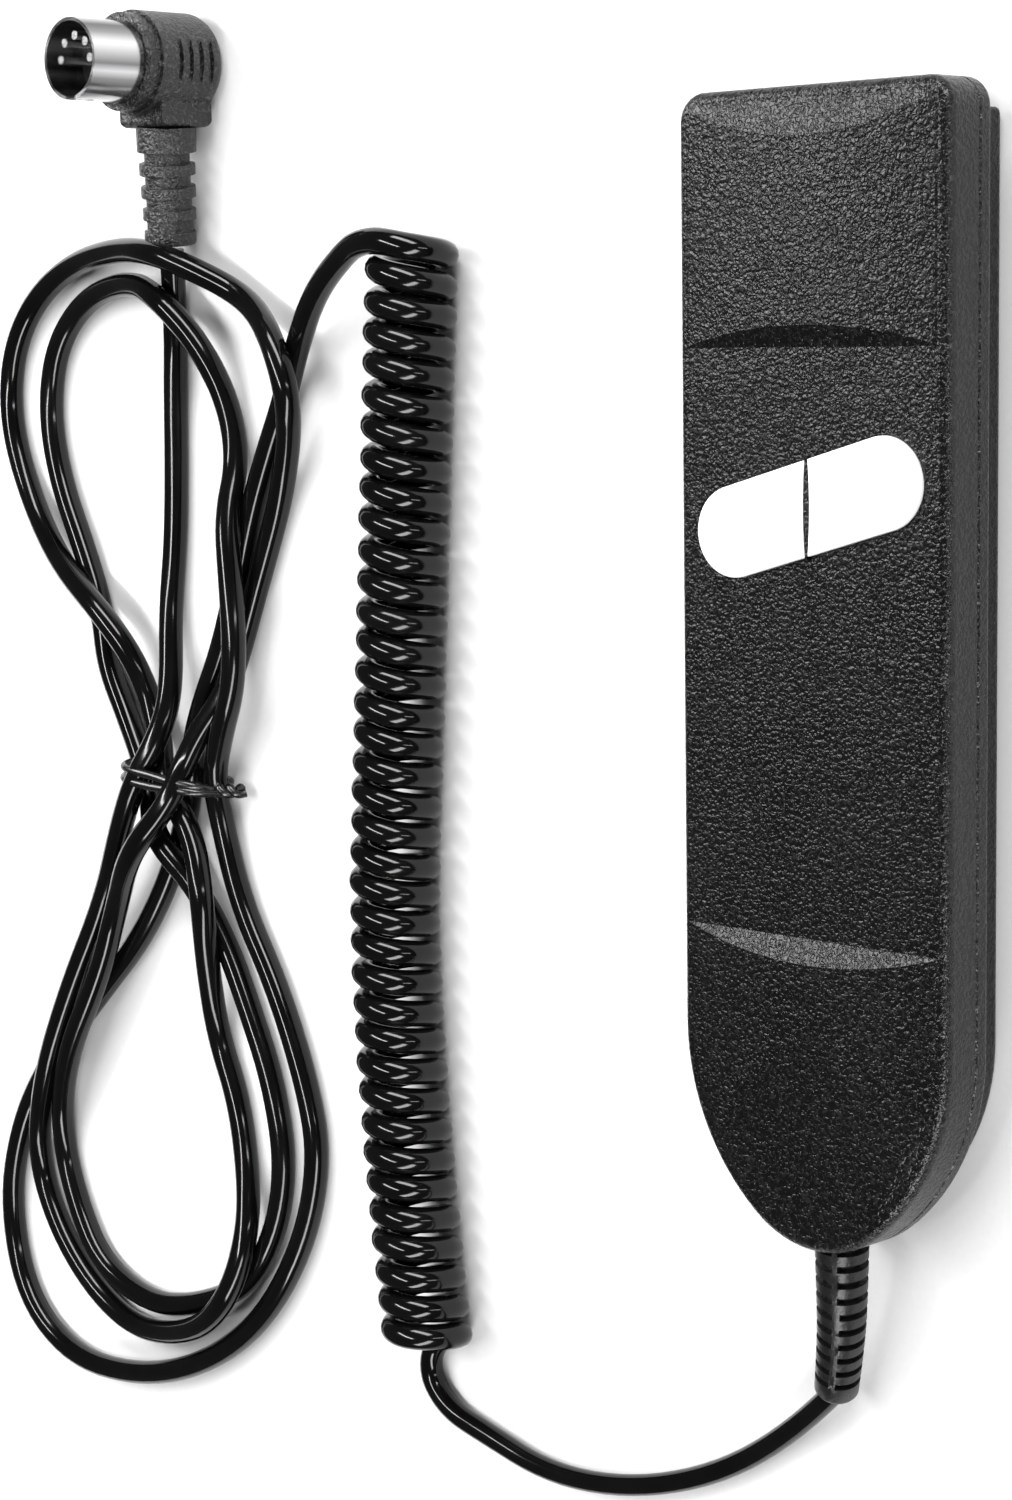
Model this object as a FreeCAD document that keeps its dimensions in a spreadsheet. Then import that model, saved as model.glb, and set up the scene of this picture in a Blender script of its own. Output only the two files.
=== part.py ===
"""Two-button hand control: a handset, its curly cord, a tied hank of straight cord and a DIN plug.

Row frame: millimetres, +Z up. The handset lies face up on its raised back, with its length along Y
and its top end towards +Y. The origin is under the middle of the handset, on the resting surface.
"""
import FreeCAD, Part
import math
import os
import Sketcher

Vector = FreeCAD.Vector
Placement = FreeCAD.Placement
Rotation = FreeCAD.Rotation
X_AXIS, Z_AXIS = Vector(1, 0, 0), Vector(0, 0, 1)

doc = FreeCAD.newDocument("hand_control")

# ---------------------------------------------------------------- driving dimensions
DRIVING = {
    # handset case
    "half_length": 80.0, "half_width": 23.35, "corner_radius": 4.0, "inner_corner": 0.6,
    "end_radius": 17.0, "flank_radius": 33.48, "flank_start": 50.0,
    "parting_height": 10.3, "rim_height": 7.5, "face_height": 17.0, "wall": 2.0, "roof": 2.2,
    "back_inset": 3.6, "edge_round": 1.6, "rim_round": 1.0, "back_round": 1.6, "parting_chamfer": 0.3,
    "overlap": 0.2,
    # the crown of the face: its height, the slope round its edge, and its ramps
    "crown": 1.3, "face_sink": 0.01, "crown_half": 22.2, "crown_inset": 1.8, "crown_slope": 4.0,
    "end_fall": 28.0, "upper_step": 45.2, "upper_run": 3.0, "lower_step": 35.6, "lower_run": 3.4,
    "top_run": 5.0,
    # bosses and case screws
    "case_boss_radius": 2.6, "case_boss_x": 15.5, "upper_boss_y": 66.0, "lower_boss_y": 48.0,
    "boss_gap": 0.2, "boss_root": 0.1, "case_thread_radius": 0.85, "case_hole_radius": 1.15,
    "case_thread_depth": 4.3, "case_screw_length": 10.0, "screw_head_radius": 2.0,
    "screw_head_height": 1.5, "screw_head_depth": 2.2, "screw_recess": 0.2,
    "driver_slot_share": 1.5, "driver_slot_width": 0.5, "driver_slot_depth": 0.4,
    # buttons, and the web of the case between them
    "button_y": 23.6, "button_angle": 15.5, "button_half_span": 13.4, "button_radius": 6.35,
    "button_gap": 0.3, "gap_bulge": 0.3, "split_lean": 1.76, "button_top": 18.1,
    "button_clear": 0.2, "button_round": 0.8, "flange_width": 1.1, "flange_top": 14.6,
    "flange_thick": 1.2, "flange_gap": 0.4, "web_half": 0.15, "web_depth": 0.5,
    # switches and board
    "board_width": 34.6, "board_length": 62.0, "board_bottom": 6.0, "board_thick": 1.6,
    "board_y": 20.0, "board_corner": 1.5, "board_boss_radius": 2.2, "board_hole_radius": 1.1,
    "board_thread_radius": 0.9, "board_boss_x": 14.5, "board_boss_y": 26.5,
    "board_screw_head": 1.9, "board_screw_height": 1.2, "board_screw_length": 4.6,
    "switch_side": 7.0, "switch_thick": 3.4, "switch_corner": 0.4, "switch_floor": 1.0,
    "switch_reach": 9.0, "switch_bore": 1.75, "plunger_radius": 1.6, "plunger_bottom": 9.8,
    "spring_radius": 2.5, "spring_wire": 0.18, "spring_pitch": 0.75, "spring_play": 0.05,
    "connector_y": 7.0, "connector_half_x": 6.5, "connector_half_y": 2.5, "connector_height": 4.2,
    "way_pitch": 2.5, "way_radius": 0.65, "way_height": 2.0, "way_floor": 0.5, "wire_radius": 0.4,
    # cable and its clamp inside the handset
    "cable_height": 10.0, "cable_radius": 1.7, "cable_length": 18.0, "cable_hole_length": 10.0,
    "cable_hole_clear": 0.1, "clamp_y": 68.5, "clamp_back_y": 70.0, "clamp_length": 3.0,
    "clamp_half": 7.5, "clamp_bridge": 3.4, "clamp_foot": 1.6, "clamp_rise": 4.8,
    "clamp_clear": 0.02, "clamp_hole_radius": 0.95, "clamp_screw_x": 5.5,
    "clamp_screw_radius": 0.8, "clamp_screw_head": 1.6, "clamp_screw_height": 1.0,
    "clamp_screw_length": 5.4, "block_half": 8.0, "block_back_y": 70.8, "block_front_y": 65.8,
    # handset boot
    "boot_root_radius": 3.9, "boot_upper_radius": 3.8, "boot_lower_radius": 3.55,
    "boot_tip_radius": 3.2, "boot_flange_radius": 4.7, "boot_flange_thick": 2.0,
    "boot_inner_y": 71.9, "end_wall_y": 78.6,
    # cords
    "cord_radius": 2.1, "lead_radius": 1.7, "coil_radius": 7.35,
    # hank and its tie
    "hank_height": 8.4, "tie_thick": 0.7, "tie_width": 2.0, "tie_half": 11.5, "tie_turn": -5.0,
    "tie_x": -148.5, "tie_y": -27.6,
    # plug
    "plug_x": -145.4, "plug_y": 92.7, "plug_top": 26.8, "shell_radius": 6.6, "shell_wall": 0.55,
    "shell_root_radius": 6.35, "shell_root_top": 16.6, "shell_bottom": 12.9,
    "key_half": 1.2, "key_depth": 4.2, "key_inner_y": 5.0, "key_reach": 3.0,
    "head_radius": 8.5, "head_height": 16.4, "drum_fall": 2.4, "drum_round": 3.4,
    "collar_fall": 2.6, "collar_step": 0.5, "neck_start": 3.0, "neck_width": 11.0,
    "neck_height": 10.6, "neck_end": 10.4, "neck_round": 1.2,
    "grip_x": 7.75, "grip_half": 4.7, "grip_low": 3.4, "grip_pitch": 2.15, "grip_width": 0.9,
    "grip_depth": 2.0, "insert_top": 19.4, "insert_floor": 1.0,
    "pin_circle": 3.75, "pin_radius": 0.72, "pin_top": 25.6,
    # plug boot: a collar, then rings on a core that both grow slimmer
    "boot_axis_height": 7.0, "boot_collar_radius": 5.05, "boot_collar_length": 4.6,
    "ring_core": 3.85, "core_taper": 0.08, "ring_radius": 4.6, "ring_taper": 0.1,
    "ring_gap": 1.75, "ring_pitch": 3.6,
}

sheet = doc.addObject("Spreadsheet::Sheet", "driving_dimensions")
sheet.Label = "driving dimensions"
for row, (alias, number) in enumerate(DRIVING.items(), start=1):
    sheet.set(f"A{row}", alias)
    sheet.set(f"B{row}", str(number))
    sheet.setAlias(f"B{row}", alias)
doc.recompute()


class Size:
    """A length that knows both its number and the expression that binds it to the sheet."""

    def __init__(self, number, text):
        self.number, self.text = number, text

    def joined(self, other, sign, number):
        return Size(number, f"({self.text} {sign} {as_size(other).text})")

    def __add__(self, other):
        return self.joined(other, "+", self.number + as_size(other).number)

    def __sub__(self, other):
        return self.joined(other, "-", self.number - as_size(other).number)

    def __mul__(self, other):
        return self.joined(other, "*", self.number * as_size(other).number)

    def __neg__(self):
        return Size(-self.number, f"(0 - {self.text})")


def as_size(value):
    return value if isinstance(value, Size) else Size(float(value), f"{value:g}")


def cell(alias):
    """The sheet's cell of that alias."""
    return Size(DRIVING[alias], f"driving_dimensions.{alias}")


def bind(thing, prop, size, unit=" * 1 mm"):
    """Set a property, and bind it to the sheet."""
    size = as_size(size)
    setattr(thing, prop, size.number)
    thing.setExpression(prop, size.text + unit)


def fail(message):
    raise SystemExit(message)


# ---------------------------------------------------------------- sketch and feature helpers
def new_body(label, z=0.0, x=0.0, y=0.0):
    body = doc.addObject("PartDesign::Body", label)
    body.Label = label
    body.Placement = Placement(Vector(x, y, z), Rotation())
    return body


def plane(body, role):
    return next(f for f in body.Origin.OriginFeatures if f.Role == role)


def new_sketch(body, name, role="XY_Plane", offset=0.0):
    """A sketch on one of the body's own planes, moved along that plane's normal."""
    sketch = body.newObject("Sketcher::SketchObject", name)
    sketch.AttachmentSupport = [(plane(body, role), "")]
    sketch.MapMode = "FlatFace"
    offset = as_size(offset)
    sketch.AttachmentOffset = Placement(Vector(0, 0, offset.number), Rotation())
    sketch.setExpression(".AttachmentOffset.Base.z", offset.text + " * 1 mm")
    return sketch


def pin_point(sketch, geometry, position, x, y):
    """Hold one sketch point at x, y with dimensions bound to the sheet."""
    for size, kind, axis in ((as_size(x), "DistanceX", -2), (as_size(y), "DistanceY", -1)):
        if abs(size.number) < 1e-9:
            sketch.addConstraint(Sketcher.Constraint("PointOnObject", geometry, position, axis))
            continue
        index = sketch.addConstraint(
            Sketcher.Constraint(kind, -1, 1, geometry, position, size.number))
        sketch.setExpression(f"Constraints[{index}]", size.text + " * 1 mm")


def outline(sketch, points):
    """A closed outline. Each point is (x, y), or (x, y, radius) where an arc leads on from it.

    A positive radius is an arc that turns left on its way to the next point, a negative one right.
    """
    first = sketch.GeometryCount
    count = len(points)
    for i, point in enumerate(points):
        after = points[(i + 1) % count]
        a = Vector(as_size(point[0]).number, as_size(point[1]).number, 0)
        b = Vector(as_size(after[0]).number, as_size(after[1]).number, 0)
        if len(point) == 2:
            sketch.addGeometry(Part.LineSegment(a, b), False)
            continue
        radius = as_size(point[2]).number
        chord = b - a
        left = Vector(-chord.y, chord.x, 0).normalize()
        rise = abs(radius) - math.sqrt(max(radius * radius - chord.Length ** 2 / 4, 0.0))
        middle = (a + b) * 0.5 - left * math.copysign(rise, radius)
        sketch.addGeometry(Part.Arc(a, middle, b), False)
    for i, point in enumerate(points):
        here, after = first + i, first + (i + 1) % count
        turns_right = len(point) == 3 and as_size(point[2]).number < 0
        start, end = (2, 1) if turns_right else (1, 2)
        following = points[(i + 1) % count]
        next_start = 2 if len(following) == 3 and as_size(following[2]).number < 0 else 1
        sketch.addConstraint(Sketcher.Constraint("Coincident", here, end, after, next_start))
        pin_point(sketch, here, start, point[0], point[1])
        if len(point) == 2:
            continue
        radius = as_size(point[2])
        width = math.hypot(as_size(following[0]).number - as_size(point[0]).number,
                           as_size(following[1]).number - as_size(point[1]).number)
        if width > 1.999 * abs(radius.number):
            # a half circle: its centre is midway between its ends
            sketch.addConstraint(Sketcher.Constraint("Symmetric", here, 1, here, 2, here, 3))
        else:
            index = sketch.addConstraint(Sketcher.Constraint("Radius", here, abs(radius.number)))
            sketch.setExpression(f"Constraints[{index}]", f"abs({radius.text}) * 1 mm")


def circle(sketch, x, y, radius):
    x, y, radius = as_size(x), as_size(y), as_size(radius)
    index = sketch.addGeometry(Part.Circle(Vector(x.number, y.number, 0), Z_AXIS, radius.number), False)
    pin_point(sketch, index, 3, x, y)
    held = sketch.addConstraint(Sketcher.Constraint("Radius", index, radius.number))
    sketch.setExpression(f"Constraints[{held}]", radius.text + " * 1 mm")


def rectangle(sketch, left, bottom, right, top):
    outline(sketch, [(left, bottom), (right, bottom), (right, top), (left, top)])


def extrude(body, sketch, kind, length, reverse=False):
    """Pad or Pocket a sketch, and check that a Pad adds and a Pocket takes away."""
    before = body.Shape.Volume if body.Tip else 0.0
    feature = body.newObject(f"PartDesign::{kind}", f"{sketch.Name}_{kind.lower()}")
    feature.Profile = sketch
    bind(feature, "Length", length)
    feature.Reversed = reverse
    doc.recompute()
    change = body.Shape.Volume - before
    if (change if kind == "Pad" else -change) < 1e-6:
        fail(f"{feature.Name}: {kind} the wrong way, volume change {change:.3f}")
    return feature


def pad(body, sketch, length, reverse=False):
    return extrude(body, sketch, "Pad", length, reverse)


def pocket(body, sketch, length, reverse=False):
    return extrude(body, sketch, "Pocket", length, reverse)


def dress(body, kind, size, chosen):
    """Fillet or Chamfer the edges of the tip that the test picks."""
    base = body.Tip
    names = [f"Edge{i}" for i, edge in enumerate(base.Shape.Edges, start=1) if chosen(edge)]
    if not names:
        fail(f"{body.Label}: no edge to {kind.lower()}")
    feature = body.newObject(f"PartDesign::{kind}", f"{body.Name}_{kind.lower()}_{len(body.Group)}")
    feature.Base = (base, names)
    bind(feature, "Radius" if kind == "Fillet" else "Size", size)
    doc.recompute()
    if "Invalid" in feature.State or feature.Shape.isNull() or not feature.Shape.isValid():
        fail(f"{feature.Name}: {kind} failed")
    return feature


def revolved(label, points):
    """A body turned about its own Z axis. The points are (radius, height)."""
    body = new_body(label)
    sketch = new_sketch(body, f"{label}_profile", "XZ_Plane")
    outline(sketch, points)
    feature = body.newObject("PartDesign::Revolution", f"{label}_turned")
    feature.Profile = sketch
    feature.ReferenceAxis = (sketch, ["V_Axis"])
    feature.Angle = 360.0
    doc.recompute()
    return body


# ---------------------------------------------------------------- the case's plan outline
def case_outline(sketch, inset):
    """The case seen from above: square shoulders at the top end, an oval bottom end of five arcs."""
    inset = as_size(inset)
    half = cell("half_width") - inset
    top = cell("half_length") - inset
    corner = cell("corner_radius") - inset
    if corner.number < DRIVING["inner_corner"]:
        corner = cell("inner_corner")
    end = cell("end_radius") - inset
    flank = cell("flank_radius") - inset
    start = -cell("flank_start")
    # where a flank arc meets the end arc, on the line through their two centres
    flank_x = DRIVING["half_width"] - DRIVING["flank_radius"]
    end_y = DRIVING["end_radius"] - DRIVING["half_length"]
    run = Vector(0 - flank_x, end_y + DRIVING["flank_start"], 0).normalize()
    meet_x = Size(0 + run.x * end.number, f"({run.x:.9f} * {end.text})")
    meet_y = Size(end_y + run.y * end.number,
                  f"(driving_dimensions.end_radius - driving_dimensions.half_length"
                  f" + {run.y:.9f} * {end.text})")
    outline(sketch, [
        (-meet_x, meet_y, end), (meet_x, meet_y, flank), (half, start),
        (half, top - corner, corner), (half - corner, top), (corner - half, top, corner),
        (-half, top - corner), (-half, start, flank),
    ])


def screw_places():
    """The four case screws, in the case's plan."""
    across = cell("case_boss_x")
    return [(across, cell("upper_boss_y")), (-across, cell("upper_boss_y")),
            (across, -cell("lower_boss_y")), (-across, -cell("lower_boss_y"))]


def cable_hole(body, name, height):
    """The round hole in the end wall that the boot sits in, at that height in the body."""
    start = cell("boot_inner_y") + cell("boot_flange_thick")
    sketch = new_sketch(body, name, "XZ_Plane", offset=start)
    circle(sketch, 0, height, cell("boot_root_radius") + cell("cable_hole_clear"))
    return pocket(body, sketch, cell("cable_hole_length"), reverse=True)


def lofted(body, name, sketches):
    """A straight-sided loft through a body's sketches, in their order."""
    loft = body.newObject("PartDesign::AdditiveLoft", name)
    loft.Profile = sketches[0]
    loft.Sections = sketches[1:]
    loft.Ruled = len(sketches) == 2
    doc.recompute()
    return loft


def across_split(side, beyond=0.0):
    """The two ends of the line between the buttons, moved to one side and drawn out beyond."""
    radius = cell("button_radius") + beyond
    lean = cell("split_lean") + as_size(beyond) * (DRIVING["split_lean"] / DRIVING["button_radius"])
    return (as_size(side) - lean, -radius), (as_size(side) + lean, radius)


def bulge_radius(bulge, beyond=0.0):
    """The radius of an arc, between those ends, that stands that far off the line."""
    share = 1 + beyond / DRIVING["button_radius"]
    half_chord = math.hypot(DRIVING["split_lean"], DRIVING["button_radius"]) * share
    return half_chord ** 2 / (2 * bulge) + bulge / 2


# ---------------------------------------------------------------- front shell
def make_front_shell():
    body = new_body("front_shell", z=DRIVING["parting_height"])
    rise = cell("face_height") - cell("parting_height")
    full = rise + cell("crown")
    sketch = new_sketch(body, "front_outline")
    case_outline(sketch, 0)
    pad(body, sketch, rise)
    dress(body, "Fillet", cell("edge_round"), lambda e: e.BoundBox.ZMin > rise.number - 1e-6)
    dress(body, "Chamfer", cell("parting_chamfer"), lambda e: e.BoundBox.ZMax < 1e-6)
    # the crown's block, its edge sloping all round
    low = cell("overlap")
    foot = new_sketch(body, "crown_foot", offset=rise - low)
    case_outline(foot, cell("crown_inset") - low * cell("crown_slope") * (1 / DRIVING["crown"]))
    head = new_sketch(body, "crown_head", offset=full)
    case_outline(head, cell("crown_inset") + cell("crown_slope"))
    lofted(body, "crown_block", [foot, head])
    # the crown across the width: everything above a shallow arc goes
    sketch = new_sketch(body, "crown_arc", "XZ_Plane", offset=-cell("half_length"))
    half = cell("crown_half")
    crown_radius = (half.number ** 2 + DRIVING["crown"] ** 2) / (2 * DRIVING["crown"])
    outline(sketch, [(half, rise), (half + 1, full + 1), (-half - 1, full + 1),
                     (-half, rise, -crown_radius)])
    pocket(body, sketch, cell("half_length") * 2, reverse=True)
    # the flat middle of the face with its ramps, the ramp at the top, and the fall to the oval end
    sketch = new_sketch(body, "face_steps", "YZ_Plane", offset=-cell("half_width"))
    flat, above = rise - cell("face_sink"), full + 1
    lift = (DRIVING["crown"] + 1) / DRIVING["crown"]
    outline(sketch, [(-cell("lower_step"), flat), (cell("upper_step"), flat),
                     (cell("upper_step") + cell("upper_run") * lift, above),
                     (-cell("lower_step") - cell("lower_run") * lift, above)])
    top_edge = cell("half_length") - cell("crown_inset")
    outline(sketch, [(top_edge, flat), (top_edge + 1, flat), (top_edge + 1, above),
                     (top_edge - cell("top_run") * lift, above)])
    outline(sketch, [(-top_edge, flat), (cell("end_fall") * lift - top_edge, above),
                     (-top_edge - 1, above), (-top_edge - 1, flat)])
    pocket(body, sketch, cell("half_width") * 2, reverse=True)
    # the opening that both buttons share
    sketch = new_sketch(body, "button_opening")
    turn = math.radians(DRIVING["button_angle"])
    radius = cell("button_radius") + cell("button_clear")
    half = DRIVING["button_half_span"]
    across, along = half * math.cos(turn), half * math.sin(turn)
    side = Vector(-math.sin(turn), math.cos(turn), 0) * radius.number
    y = DRIVING["button_y"]
    outline(sketch, [(-across - side.x, y - along - side.y), (across - side.x, y + along - side.y, radius),
                     (across + side.x, y + along + side.y),
                     (-across + side.x, y - along + side.y, radius)])
    pocket(body, sketch, full + 1, reverse=True)
    # hollow it from below
    sketch = new_sketch(body, "front_hollow")
    case_outline(sketch, cell("wall"))
    pocket(body, sketch, rise - cell("roof"), reverse=True)
    # the thin web between the buttons, thicker in the middle
    sketch = new_sketch(body, "button_web", offset=rise - cell("roof"))
    sketch.AttachmentOffset = Placement(
        Vector(0, y, (rise - cell("roof")).number), Rotation(Z_AXIS, DRIVING["button_angle"]))
    sketch.setExpression(".AttachmentOffset.Base.y", "driving_dimensions.button_y * 1 mm")
    beyond = cell("button_clear") + cell("overlap")
    bulge = bulge_radius(DRIVING["gap_bulge"], beyond.number)
    right_low, right_high = across_split(cell("web_half"), beyond)
    left_low, left_high = across_split(-cell("web_half"), beyond)
    outline(sketch, [left_low, (*right_low, bulge), right_high, (*left_high, bulge)])
    pad(body, sketch, cell("button_top") - cell("web_depth") - cell("face_height") + cell("roof"))
    # four bosses for the case screws
    sketch = new_sketch(body, "front_bosses", offset=cell("boss_gap"))
    for x, y_place in screw_places():
        circle(sketch, x, y_place, cell("case_boss_radius"))
    pad(body, sketch, rise - cell("roof") - cell("boss_gap") + cell("boss_root"))
    sketch = new_sketch(body, "front_screw_holes")
    for x, y_place in screw_places():
        circle(sketch, x, y_place, cell("case_thread_radius"))
    pocket(body, sketch, cell("case_thread_depth"), reverse=True)
    cable_hole(body, "front_cable_hole", cell("cable_height") - cell("parting_height"))
    return body


# ---------------------------------------------------------------- rear shell
def make_rear_shell():
    body = new_body("rear_shell")
    sketch = new_sketch(body, "raised_back")
    case_outline(sketch, cell("back_inset"))
    pad(body, sketch, cell("rim_height"))
    sketch = new_sketch(body, "rim_outline", offset=cell("rim_height"))
    case_outline(sketch, 0)
    pad(body, sketch, cell("parting_height") - cell("rim_height"))
    dress(body, "Fillet", cell("back_round"), lambda e: e.BoundBox.ZMax < 1e-6)
    rim = DRIVING["rim_height"]

    def rim_edge(edge):
        """The rim's outer edges: they lie at the rim's height, and a wall rises from them."""
        box = edge.BoundBox
        level = abs(box.ZMin - rim) < 1e-6 and abs(box.ZMax - rim) < 1e-6
        walls = body.Tip.Shape.ancestorsOfType(edge, Part.Face) if level else []
        return any(wall.BoundBox.ZMax > rim + 1e-3 for wall in walls)
    dress(body, "Fillet", cell("rim_round"), rim_edge)
    dress(body, "Chamfer", cell("parting_chamfer"),
          lambda e: e.BoundBox.ZMin > DRIVING["parting_height"] - 1e-6)
    sketch = new_sketch(body, "rear_hollow", offset=cell("wall"))
    case_outline(sketch, cell("back_inset") + cell("wall"))
    pocket(body, sketch, cell("parting_height"), reverse=True)
    # bosses: four for the case screws up to the parting line, four low ones for the board
    boss_foot = cell("wall") - cell("overlap")
    sketch = new_sketch(body, "rear_case_bosses", offset=boss_foot)
    for x, y in screw_places():
        circle(sketch, x, y, cell("case_boss_radius"))
    pad(body, sketch, cell("parting_height") - boss_foot)
    sketch = new_sketch(body, "rear_board_bosses", offset=boss_foot)
    for x, y in board_places():
        circle(sketch, x, y, cell("board_boss_radius"))
    pad(body, sketch, cell("board_bottom") - boss_foot)
    sketch = new_sketch(body, "case_screw_holes")
    for x, y in screw_places():
        circle(sketch, x, y, cell("case_hole_radius"))
    pocket(body, sketch, cell("parting_height") + 1, reverse=True)
    sketch = new_sketch(body, "screw_head_recesses")
    for x, y in screw_places():
        circle(sketch, x, y, cell("screw_head_radius") + cell("screw_recess"))
    pocket(body, sketch, cell("screw_head_depth"), reverse=True)
    sketch = new_sketch(body, "board_screw_holes", offset=cell("wall"))
    for x, y in board_places():
        circle(sketch, x, y, cell("board_thread_radius"))
    pocket(body, sketch, cell("board_bottom"), reverse=True)
    # a block for the cord clamp to screw down to
    sketch = new_sketch(body, "clamp_block", offset=boss_foot)
    rectangle(sketch, -cell("block_half"), -cell("block_back_y"), cell("block_half"),
              -cell("block_front_y"))
    pad(body, sketch, cell("cable_height") - cell("cable_radius") - boss_foot)
    sketch = new_sketch(body, "clamp_screw_holes", offset=cell("wall") + 1)
    for x, y in clamp_screw_places():
        circle(sketch, x, y, cell("clamp_screw_radius"))
    pocket(body, sketch, cell("cable_height"), reverse=True)
    cable_hole(body, "rear_cable_hole", cell("cable_height"))
    return body


def board_places():
    """The four board screws, in the case's plan."""
    across, along, middle = cell("board_boss_x"), cell("board_boss_y"), cell("board_y")
    return [(across, middle + along), (-across, middle + along),
            (across, middle - along), (-across, middle - along)]


def clamp_screw_places():
    """The cord clamp's two screws, in the case's plan."""
    return [(-cell("clamp_screw_x"), -cell("clamp_y")), (cell("clamp_screw_x"), -cell("clamp_y"))]


# ---------------------------------------------------------------- buttons and switches
def make_button(label, half_turn):
    """One half of the slanted stadium, hollowed where it meets the web between the buttons.
    Both are the same moulding, one turned end for end."""
    body = new_body(label)
    angle = DRIVING["button_angle"] + (180.0 if half_turn else 0.0)
    body.Placement = Placement(Vector(0, DRIVING["button_y"], 0), Rotation(Z_AXIS, angle))
    radius, half = cell("button_radius"), cell("button_half_span")
    flange_bottom = cell("flange_top") - cell("flange_thick")
    sketch = new_sketch(body, f"{label}_cap", offset=flange_bottom)
    low, high = across_split(-cell("button_gap"))
    outline(sketch, [(-half, -radius), (*low, -bulge_radius(DRIVING["gap_bulge"])), high,
                     (-half, radius, radius)])
    pad(body, sketch, cell("button_top") - flange_bottom)
    top = DRIVING["button_top"] - 1e-6
    dress(body, "Fillet", cell("button_round"), lambda e: e.BoundBox.ZMin > top)
    wide, lean, gap = radius + cell("flange_width"), cell("split_lean"), cell("flange_gap")
    sketch = new_sketch(body, f"{label}_flange", offset=flange_bottom)
    outline(sketch, [(-half, -wide), (-lean - gap, -wide), (lean - gap, wide), (-half, wide, wide)])
    pad(body, sketch, cell("flange_thick"))
    return body


def make_switch(label, side):
    """A square push switch whose plunger slides in its bore."""
    turn = math.radians(DRIVING["button_angle"])
    x = side * DRIVING["switch_reach"] * math.cos(turn)
    y = DRIVING["button_y"] + side * DRIVING["switch_reach"] * math.sin(turn)
    board_top = DRIVING["board_bottom"] + DRIVING["board_thick"]
    body = new_body(label, x=x, y=y, z=board_top)
    half = cell("switch_side") * 0.5
    sketch = new_sketch(body, f"{label}_case")
    rectangle(sketch, -half, -half, half, half)
    pad(body, sketch, cell("switch_thick"))
    upright = DRIVING["switch_thick"] - 1e-3
    dress(body, "Chamfer", cell("switch_corner"), lambda e: e.BoundBox.ZLength > upright)
    sketch = new_sketch(body, f"{label}_bore", offset=cell("switch_floor"))
    circle(sketch, 0, 0, cell("switch_bore"))
    pocket(body, sketch, cell("switch_thick"), reverse=True)
    return body, x, y


def make_plunger(label, x, y):
    plunger = doc.addObject("Part::Cylinder", label)
    plunger.Label = label
    bind(plunger, "Radius", cell("plunger_radius"))
    bind(plunger, "Height", cell("flange_top") - cell("flange_thick") - cell("plunger_bottom"))
    plunger.Placement = Placement(Vector(x, y, DRIVING["plunger_bottom"]), Rotation())
    return plunger


def make_spring(label, x, y):
    """A round-wire compression spring between the switch and the button's underside."""
    seat = DRIVING["board_bottom"] + DRIVING["board_thick"] + DRIVING["switch_thick"]
    roof = DRIVING["flange_top"] - DRIVING["flange_thick"]
    wire = cell("spring_wire")
    play = DRIVING["spring_play"]
    height = roof - seat - 2 * (wire.number + play)
    helix = doc.addObject("Part::Helix", f"{label}_helix")
    bind(helix, "Radius", cell("spring_radius"))
    bind(helix, "Pitch", cell("spring_pitch"))
    helix.Height = height
    section = doc.addObject("Part::Circle", f"{label}_section")
    bind(section, "Radius", wire)
    section.Placement = Placement(Vector(DRIVING["spring_radius"], 0, 0), Rotation(X_AXIS, 90))
    spring = doc.addObject("Part::Sweep", label)
    spring.Label = label
    spring.Sections = [section]
    spring.Spine = (helix, ["Edge1"])
    spring.Solid = True
    spring.Frenet = True
    spring.Placement = Placement(Vector(x, y, seat + wire.number + play), Rotation())
    return spring


# ---------------------------------------------------------------- board and fasteners
def make_board():
    body = new_body("switch_board", y=DRIVING["board_y"], z=DRIVING["board_bottom"])
    half, along = cell("board_width") * 0.5, cell("board_length") * 0.5
    sketch = new_sketch(body, "board_outline")
    rectangle(sketch, -half, -along, half, along)
    pad(body, sketch, cell("board_thick"))
    upright = DRIVING["board_thick"] - 1e-3
    dress(body, "Chamfer", cell("board_corner"), lambda e: e.BoundBox.ZLength > upright)
    sketch = new_sketch(body, "board_holes")
    for x in (-cell("board_boss_x"), cell("board_boss_x")):
        for y in (-cell("board_boss_y"), cell("board_boss_y")):
            circle(sketch, x, y, cell("board_hole_radius"))
    pocket(body, sketch, cell("board_thick") * 2, reverse=True)
    return body


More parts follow.
